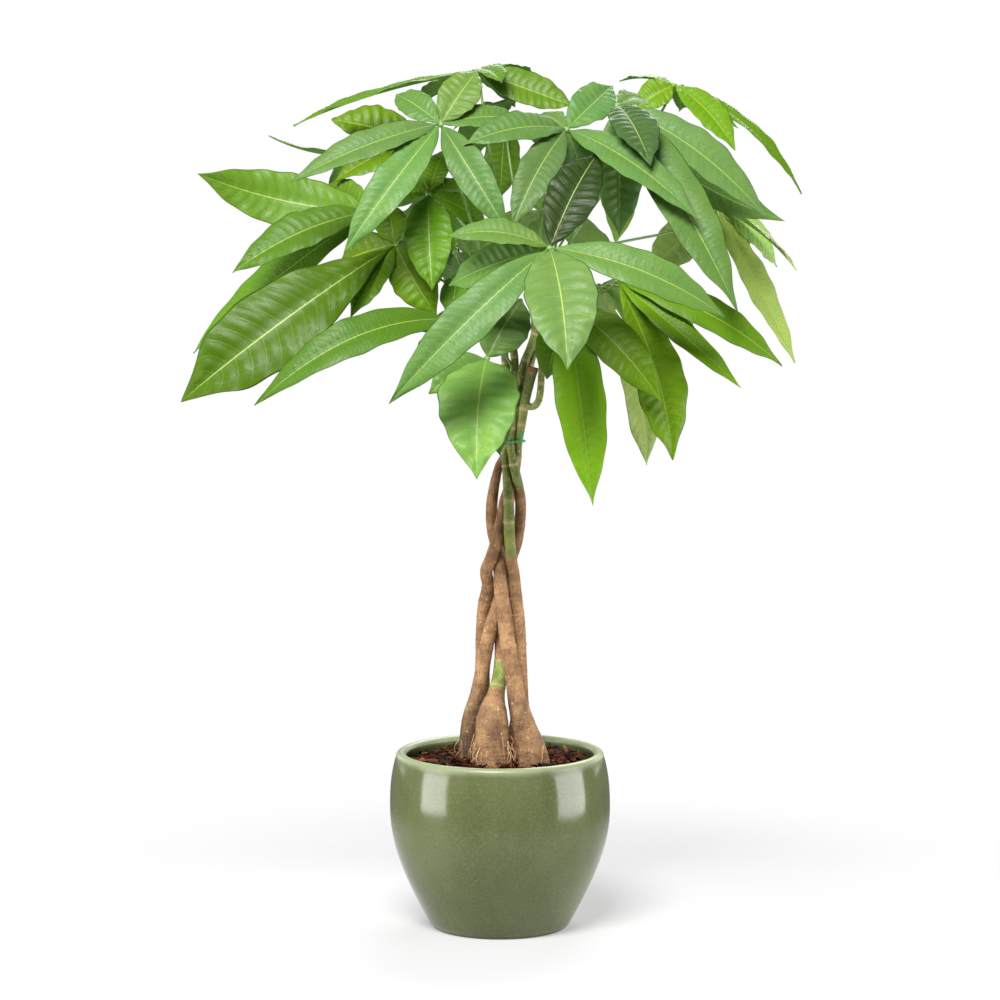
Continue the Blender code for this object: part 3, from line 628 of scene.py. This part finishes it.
def stalk(build, leaf, tint):
    """The leaf's stalk, swollen where it leaves the shoot, and its hub."""
    shoot = next(stem for stem in (*STEMS, SIDE_SHOOT) if stem.name == leaf.shoot)
    foot, radius = stem_at(shoot, leaf.height * MM)
    hub = Vector(leaf.hub) * MM
    span = hub - foot
    out = Vector((span.x, span.y, 0.0)).normalized()
    start = foot + out * radius * 0.7
    leave = start + (out * 0.5 + UP).normalized() * span.length * 0.35
    arrive = hub - Vector(leaf.facing).normalized() * span.length * 0.25
    corners = [np.array(point) for point in (start, leave, arrive, hub)]
    t = np.linspace(0.0, 1.0, 33)[:, None]
    path = (
        corners[0] * (1 - t) ** 3 + corners[1] * 3 * t * (1 - t) ** 2
        + corners[2] * 3 * t * t * (1 - t) + corners[3] * t ** 3
    )
    gone = t[:, 0] * span.length
    swollen = 1 + 0.75 * np.exp(-(gone / 0.007) ** 2)
    radii = PETIOLE_RADIUS * (swollen - 0.12 * t[:, 0] + 0.25 * ramp(t[:, 0], 0.95, 1.0))
    points, _ = tube(path, radii, 12)
    build.add(points.reshape(-1, 3), capped_faces(len(path), 12), 2, tints=tint)
    ball = []
    for ring in range(1, 9):
        turn = math.pi * ring / 9
        wide = HUB_RADIUS * math.sin(turn)
        ball += [
            (wide * math.cos(a), wide * math.sin(a), 0.75 * HUB_RADIUS * math.cos(turn))
            for a in np.arange(14) * (2 * math.pi / 14)
        ]
    turned = Vector(leaf.facing).to_track_quat("Z", "Y").to_matrix()
    points = np.array(ball) @ np.array(turned).T + corners[3]
    build.add(points, capped_faces(8, 14), 2, tints=tint)


def make_leaves():
    materials = [
        blade_material("leaf_upper_side", True), blade_material("leaf_under_side", False), stalk_material(),
    ]
    for index, leaf in enumerate(LEAVES):
        rng = np.random.default_rng(index + 40)
        build = Build()
        tone = np.array(TONES[leaf.tone]) * rng.uniform(0.9, 1.1)
        stalk(build, leaf, (1.0, 1.0, 1.0))
        hub, facing = Vector(leaf.hub) * MM, Vector(leaf.facing).normalized()
        for number, leaflet in enumerate(leaf.leaflets):
            swell_power = SWELL_POWERS.get((leaf.name, number), SWELL_POWER)
            # The leaflet's painted light and shade, times a random tone of its own.
            shade = LEAFLET_PAINTED_LIGHT.get((leaf.name, number), 1.0) * rng.uniform(0.84, 1.14)
            hue = np.array((rng.uniform(0.88, 1.12), 1.0, rng.uniform(0.8, 1.2)))
            blade(build, hub, facing, leaflet, swell_power, tone * shade * hue, rng)
        build.piece(leaf.name + "_foliage", materials, "leaf_" + leaf.name)


# ---- Stems ----

RING_SPACING = 0.0022
BARK_SIDES = 28
LENTICELS = 150


def scar_rings(gone, height, seed):
    """How strongly a leaf scar rings the stem at each point of its length. The old wood has none."""
    rng = np.random.default_rng(seed + 90)
    rings = np.cumsum(rng.uniform(16.0, 44.0, 40)) * MM
    near = np.exp(-((gone[:, None] - rings[None]) / 0.0012) ** 2).sum(1)
    return near * ramp(height, 0.22, 0.32)


def bark_relief(path, gone, radii, scars, seed):
    """How far the bark stands out at each point: lumps, leaf scars, and folds that are deepest low down."""
    relief = np.empty((len(path), BARK_SIDES))
    angles = np.arange(BARK_SIDES) * (2 * math.pi / BARK_SIDES)
    folded = 0.014 + 0.040 * (1.0 - ramp(path[:, 2], 0.20, 0.27))
    for row, (along, radius) in enumerate(zip(gone, radii)):
        for column, angle in enumerate(angles):
            way = Vector((math.cos(angle), math.sin(angle), 0.0))
            lumps = noise.noise(way * 0.9 + UP * (along * 42.0 + seed * 9))
            folds = noise.noise(way * 0.8 + UP * (along * 300.0 + seed * 5))
            relief[row, column] = radius * (0.05 * lumps + folded[row] * folds + 0.07 * scars[row])
    return relief


def stem_body(build, stem, seed):
    """A stem's bark, with its pale corky spots as small raised domes."""
    path, gone = evenly(smooth_path(stem.points, 10) * MM, RING_SPACING)
    radii = path[:, 3].copy()
    path = path[:, :3]
    if stem.name != CUT_SEEDLING:
        left = gone[-1] - gone
        radii *= np.sqrt(np.clip(left / (radii[-1] * 0.9), 0.02, 1.0))
    points, out = tube(path, radii, BARK_SIDES)
    height = path[:, 2]
    scars = scar_rings(gone, height, seed)
    points = points + out * bark_relief(path, gone, radii, scars, seed)[..., None]
    green = sum(
        ramp(height, low, low + 0.006) * (1 - ramp(height, high, high + 0.006)) for low, high in stem.green)
    stained = stem.stained * (1.0 - ramp(height, 0.235, 0.285))
    rows = np.stack([green, stained, np.clip(scars, 0.0, 1.0) * (0.12 + 0.6 * green)], -1)
    marks = np.repeat(rows[:, None], BARK_SIDES, 1).reshape(-1, 3)
    build.add(points.reshape(-1, 3), capped_faces(len(path), BARK_SIDES), 0, marks)
    rng = np.random.default_rng(seed)
    for _ in range(LENTICELS):
        row = rng.integers(2, len(path) - 3)
        if height[row] < 0.2:
            continue
        column = rng.integers(0, BARK_SIDES)
        spot(build, points[row, column], out[row, column], rng, green[row])


def spot(build, centre, way, rng, green):
    """One corky spot: a small flattened dome."""
    wide, tall = rng.uniform(0.0004, 0.0011), rng.uniform(0.0004, 0.0015)
    turn = np.array(Vector(way).to_track_quat("Z", "Y").to_matrix())
    rings = [(1.0, -0.2), (0.85, 0.35), (0.4, 0.6)]
    angles = np.arange(8) * (math.pi / 4)
    points = [(wide * r * math.cos(a), tall * r * math.sin(a), 0.0005 * z) for r, z in rings for a in angles]
    marks = (green * 0.5, 0.0, rng.uniform(0.4, 1.0))
    build.add(np.array(points) @ turn.T + centre, capped_faces(3, 8), 0, marks)


def strand(build, points, radius, marks=(0.0, 0.0, 0.0), tint=(1.0, 1.0, 1.0), sides=5):
    """A thin tapered fibre through a few points."""
    path = smooth_path(points, 4)
    radii = radius * (1 - 0.8 * np.linspace(0, 1, len(path)) ** 2)
    made, _ = tube(path, radii, sides)
    build.add(made.reshape(-1, 3), capped_faces(len(path), sides), 0, marks, tint)


def frayed_base(build, stem, rng, count):
    """Pale shreds of old bark that peel off round the foot of a seedling."""
    foot, radius = stem_at(stem, 0.192)
    for _ in range(count):
        turn = rng.uniform(0, 2 * math.pi)
        out = np.array((math.cos(turn), math.sin(turn), 0.0))
        beside = np.array((-out[1], out[0], 0.0)) * rng.uniform(-0.009, 0.009)
        top = np.array(foot) + out * radius * 0.99 + np.array((0, 0, rng.uniform(0.004, 0.026)))
        loose = out * rng.uniform(0.0005, 0.006)
        low = np.array(foot) + out * radius * 1.02 + beside + loose + np.array((0, 0, -0.006))
        middle = (top + low) / 2 + loose * rng.uniform(0.2, 1.2)
        strand(build, [top, middle, low], rng.uniform(0.0003, 0.0007), (0.0, 0.0, rng.uniform(0.1, 0.7)))


def make_stems():
    bark = bark_material()
    for seed, stem in enumerate(STEMS, start=3):
        build = Build()
        stem_body(build, stem, seed)
        if stem.name == CUT_SEEDLING:
            stem_body(build, SIDE_SHOOT, seed + 20)
        shreds = 34 if stem.name == "seedling_centre" else 6
        frayed_base(build, stem, np.random.default_rng(seed + 60), shreds)
        build.piece(stem.name + "_bark", [bark], stem.name)


# ---- Tie ----

TIE_CENTRE = np.array((0.0140, 0.0, 0.537))
TIE_RADIUS = 0.0134
TIE_WIRE = 0.0006  # finer than the CAD ring's wire, which is kept thick enough to make
TIE_TWIST = math.radians(-52)


def make_tie():
    """The wire's two turns round the plait, and its twisted ends at the front."""
    build = Build()
    angles = np.linspace(TIE_TWIST, TIE_TWIST + 4 * math.pi, 160)
    climb = np.linspace(-0.0007, 0.0007, len(angles))
    loop = TIE_CENTRE + np.stack([TIE_RADIUS * np.cos(angles), TIE_RADIUS * np.sin(angles), climb], 1)
    made, _ = tube(loop, TIE_WIRE, 8)
    build.add(made.reshape(-1, 3), capped_faces(len(loop), 8))
    out = np.array((math.cos(TIE_TWIST), math.sin(TIE_TWIST), 0.0))
    beside = np.array((-out[1], out[0], 0.0))
    t = np.linspace(0.0, 1.0, 60)[:, None]
    bowed = TIE_RADIUS + 0.0006 + 0.0008 * np.sin(t * 3)
    core = TIE_CENTRE + out * bowed + np.array((0, 0, 1.0)) * t * 0.0105
    for start in (0.0, math.pi):
        turn = t * 5 * math.pi + start
        path = core + (out * np.cos(turn) + beside * np.sin(turn)) * TIE_WIRE * 0.95
        made, _ = tube(path, TIE_WIRE, 8)
        build.add(made.reshape(-1, 3), capped_faces(len(path), 8))
    build.piece("twisted_wire", [wire_material()], "wire_tie")


# ---- Pot and mulch ----

POT_SIDES = 128


def belly_radius(height):
    """The pot's outer radius at a height."""
    sunk = max(1 - height / BELLY_HEIGHT, 0.0)
    below = FOOT_RADIUS + (BELLY_RADIUS - FOOT_RADIUS) * math.cos(0.5 * math.pi * sunk)
    share = max(height - BELLY_HEIGHT, 0.0) / (POT_HEIGHT - BELLY_HEIGHT)
    return below - (BELLY_RADIUS - LIP_RADIUS) * share ** SHOULDER_POWER


def turned(profile, sides, wobble=0.0):
    """A closed shape turned about Z from a profile that begins and ends near the axis."""
    points = []
    for radius, height in profile:
        for a in np.arange(sides) * (2 * math.pi / sides):
            uneven = 1 + wobble * noise.noise(Vector((math.cos(a) * 1.3, math.sin(a) * 1.3, height * 14)))
            points.append((radius * uneven * math.cos(a), radius * uneven * math.sin(a), height))
    return points, capped_faces(len(profile), sides)


def make_pot():
    """The pot with a rounded foot and lip."""
    foot = [
        (FOOT_RADIUS - 0.003 * (1 - math.sin(a)), 0.003 * (1 - math.cos(a)))
        for a in np.linspace(0, math.pi / 2, 5)
    ]
    lip_base = POT_HEIGHT - WALL / 2
    heights = np.linspace(0.004, lip_base, 48)
    outside = [(belly_radius(h), h) for h in heights]
    middle = outside[-1][0] - WALL / 2
    lip = [
        (middle + WALL / 2 * math.cos(a), lip_base + WALL / 2 * math.sin(a))
        for a in np.linspace(0, math.pi, 15)[1:-1]
    ]
    inside = [(belly_radius(h) - WALL, h) for h in np.linspace(lip_base, FLOOR, 24)]
    profile = [(0.001, 0.0), (0.04, 0.0), *foot, *outside, *lip, *inside, (0.001, FLOOR)]
    build = Build()
    build.add(*turned(profile, POT_SIDES, 0.0035))
    build.piece("glazed_pot", [glaze_material()], "pot")


def soil_height(x, y):
    share = min(math.hypot(x, y) / 0.104, 1.0)
    return SOIL_LEVEL + SOIL_MOUND * math.cos(0.5 * math.pi * share)


def make_mulch():
    """A rough bed of fines, with chips and fibres strewn on it."""
    build = Build()
    rng = np.random.default_rng(5)
    levels = np.linspace(FLOOR + 0.0004, SOIL_LEVEL - 0.003, 12)
    side = [(belly_radius(h) - WALL - 0.0004, h) for h in levels]
    edge = side[-1][0]
    top = [(edge * share, 0.0) for share in np.linspace(0.985, 0.01, 34)]
    points, faces = turned([(0.001, side[0][1]), *side, *top], 96)
    for index in range(96 * (len(side) + 1), len(points)):
        x, y, _ = points[index]
        rough = noise.fractal(Vector((x, y, 0.3)) * 190.0, 0.8, 2.0, 3)
        points[index] = (x, y, soil_height(x, y) - 0.0025 + 0.0022 * rough)
    build.add(points, faces, 0, tints=(0.012, 0.006, 0.004))
    feet = [(stem_at(stem, 0.188)) for stem in STEMS]
    for _ in range(620):
        spread = 0.101 * math.sqrt(rng.uniform(0, 1))
        turn = rng.uniform(0, 2 * math.pi)
        x, y = spread * math.cos(turn), spread * math.sin(turn)
        if any(math.hypot(x - foot.x, y - foot.y) < radius + 0.001 for foot, radius in feet):
            continue
        chip(build, x, y, rng)
    for _ in range(190):
        fibre(build, feet, rng)
    build.piece("bark_mulch_bed", [mulch_material()], "potting_mix")


CHIP_COLOURS = (
    (0.030, 0.009, 0.004), (0.012, 0.004, 0.002), (0.060, 0.018, 0.007), (0.12, 0.043, 0.016),
    (0.24, 0.11, 0.045),
)
CHIP_ODDS = (0.34, 0.30, 0.22, 0.10, 0.04)


def chip(build, x, y, rng):
    """One splintered bark chip: a bent, tapered slab with uneven edges."""
    length, width, thick = rng.uniform(0.005, 0.017), rng.uniform(0.002, 0.0062), rng.uniform(0.0008, 0.0021)
    ring = np.array([(-1, -1), (0, -1.15), (1, -1), (1, 1), (0, 1.15), (-1, 1)], float)
    ring = ring * (width / 2, thick / 2)
    bend = rng.uniform(-0.18, 0.18)
    points = []
    for step in np.linspace(-1, 1, 5):
        taper = 1 - 0.55 * abs(step) ** 3 * rng.uniform(0.4, 1.2)
        rough = rng.normal(0, 0.09, ring.shape) * (width, thick)
        flat = ring * taper + rough
        points += [(step * length / 2, a, b + bend * length * (step * step - 0.4)) for a, b in flat]
    turn = Matrix.Rotation(rng.uniform(0, 6.3), 3, "Z") @ Matrix.Rotation(rng.normal(0, 0.35), 3, "Y")
    turn = turn @ Matrix.Rotation(rng.normal(0, 0.5), 3, "X")
    made = np.array(points) @ np.array(turn).T
    made += (x, y, soil_height(x, y) + rng.uniform(-0.001, 0.0028))
    reach = np.hypot(made[:, 0], made[:, 1])
    made[:, :2] *= np.minimum(1.0, 0.1015 / np.maximum(reach, 1e-6))[:, None]
    colour = np.array(CHIP_COLOURS[rng.choice(len(CHIP_COLOURS), p=CHIP_ODDS)]) * rng.uniform(0.7, 1.35)
    build.add(made, capped_faces(5, 6), 0, tints=colour)


def fibre(build, feet, rng):
    """A curled bark fibre that lies on the chips."""
    turn, spread = rng.uniform(0, 2 * math.pi), 0.094 * math.sqrt(rng.uniform(0.02, 1))
    x, y = spread * math.cos(turn), spread * math.sin(turn)
    if any(math.hypot(x - foot.x, y - foot.y) < radius + 0.004 for foot, radius in feet):
        return
    heading, curl = rng.uniform(0, 2 * math.pi), rng.uniform(-1.6, 1.6)
    points = []
    for step in range(4):
        points.append((x, y, soil_height(x, y) + 0.0028 + rng.uniform(-0.001, 0.0022)))
        x += 0.0042 * math.cos(heading)
        y += 0.0042 * math.sin(heading)
        heading += curl / 3
    if math.hypot(x, y) > 0.1:
        return
    colour = np.array(CHIP_COLOURS[rng.choice((2, 3, 4), p=(0.4, 0.35, 0.25))]) * 1.3
    strand(build, points, rng.uniform(0.00025, 0.0006), tint=colour)


# ---- Floor, light and camera ----

FLOOR_GLOW = 0.36  # how brightly the floor shines of itself
SURROUND = 0.20  # the surroundings' light, for each unit of their look


def make_floor():
    """A pale floor round the pot that fades into the white surroundings."""
    mesh = bpy.data.meshes.new("floor")
    size = 1.6
    corners = [(-size, -size, 0), (size, -size, 0), (size, size, 0), (-size, size, 0)]
    mesh.from_pydata(corners, [], [(0, 1, 2, 3)])
    n = Nodes("pale_floor")
    reach = n.new("ShaderNodeVectorMath", {0: n.place()}, operation="LENGTH").outputs["Value"]
    grain = n.span(n.noise(n.place(), 300.0), 0.3, 0.7, 0.40, 0.44)
    n.put(n.output.inputs["Surface"], n.shader.outputs[0])
    n.finish((0.31, 0.31, 0.31, 1.0), grain, Specular_IOR_Level=0.0)
    n.shader.inputs["Emission Color"].default_value = (1.0, 1.0, 1.0, 1.0)
    n.shader.inputs["Emission Strength"].default_value = FLOOR_GLOW
    n.put(n.shader.inputs["Alpha"], n.span(reach, 0.28, 0.80, 1.0, 0.0))
    mesh.materials.append(n.material)
    floor = bpy.data.objects.new("floor", mesh)
    bpy.context.scene.collection.objects.link(floor)


def make_world():
    """White surroundings to look at, and a dimmer light from them."""
    world = bpy.data.worlds.new("studio")
    bpy.context.scene.world = world
    world.use_nodes = True
    tree = world.node_tree
    seen = tree.nodes.new("ShaderNodeLightPath").outputs["Is Camera Ray"]
    share = tree.nodes.new("ShaderNodeMapRange")
    share.inputs["To Min"].default_value = SURROUND
    share.inputs["To Max"].default_value = 1.0
    tree.links.new(seen, share.inputs["Value"])
    ground = tree.nodes["Background"]
    ground.inputs["Color"].default_value = (1.0, 1.0, 1.0, 1.0)
    tree.links.new(share.outputs[0], ground.inputs["Strength"])


def lamp(name, place, aim, size, power):
    """A soft box that faces its aim."""
    light = bpy.data.lights.new(name, "AREA")
    light.shape = "RECTANGLE"
    light.size, light.size_y = size
    light.energy = power
    made = bpy.data.objects.new(name, light)
    bpy.context.scene.collection.objects.link(made)
    made.location = place
    made.rotation_euler = (Vector(aim) - Vector(place)).to_track_quat("-Z", "Y").to_euler()


def make_light():
    make_world()
    lamp("left_window", (-1.50, -0.50, 0.26), (0.0, 0.0, 0.20), (0.90, 0.74), 22.0)
    lamp("right_window", (1.50, -0.30, 0.26), (0.0, 0.0, 0.20), (1.00, 0.72), 22.0)
    lamp("overhead", (-0.5, -2.0, 2.6), (0.0, 0.0, 0.70), (1.3, 1.0), 184.0)
    lamp("back_fill", (0.4, 1.9, 1.9), (0.0, 0.0, 0.8), (1.4, 1.4), 48.0)
    lamp("left_rim", (-1.80, 2.10, 0.70), (0.0, 0.0, 0.50), (1.8, 1.1), 9.0)
    lamp("right_rim", (1.80, 2.10, 0.70), (0.0, 0.0, 0.50), (1.8, 1.1), 12.0)


def make_camera():
    camera = bpy.data.objects.new("camera", bpy.data.cameras.new("camera"))
    bpy.context.scene.collection.objects.link(camera)
    camera.location = (0.0, -4.2, 0.955)
    camera.rotation_euler = (math.radians(90 - 6.56), 0.0, 0.0)
    camera.data.sensor_width = 36.0
    camera.data.lens = 139.6
    bpy.context.scene.camera = camera
    bpy.context.scene.view_settings.view_transform = "Standard"


make_pot()
make_mulch()
make_stems()
make_tie()
make_leaves()
make_floor()
make_light()
make_camera()
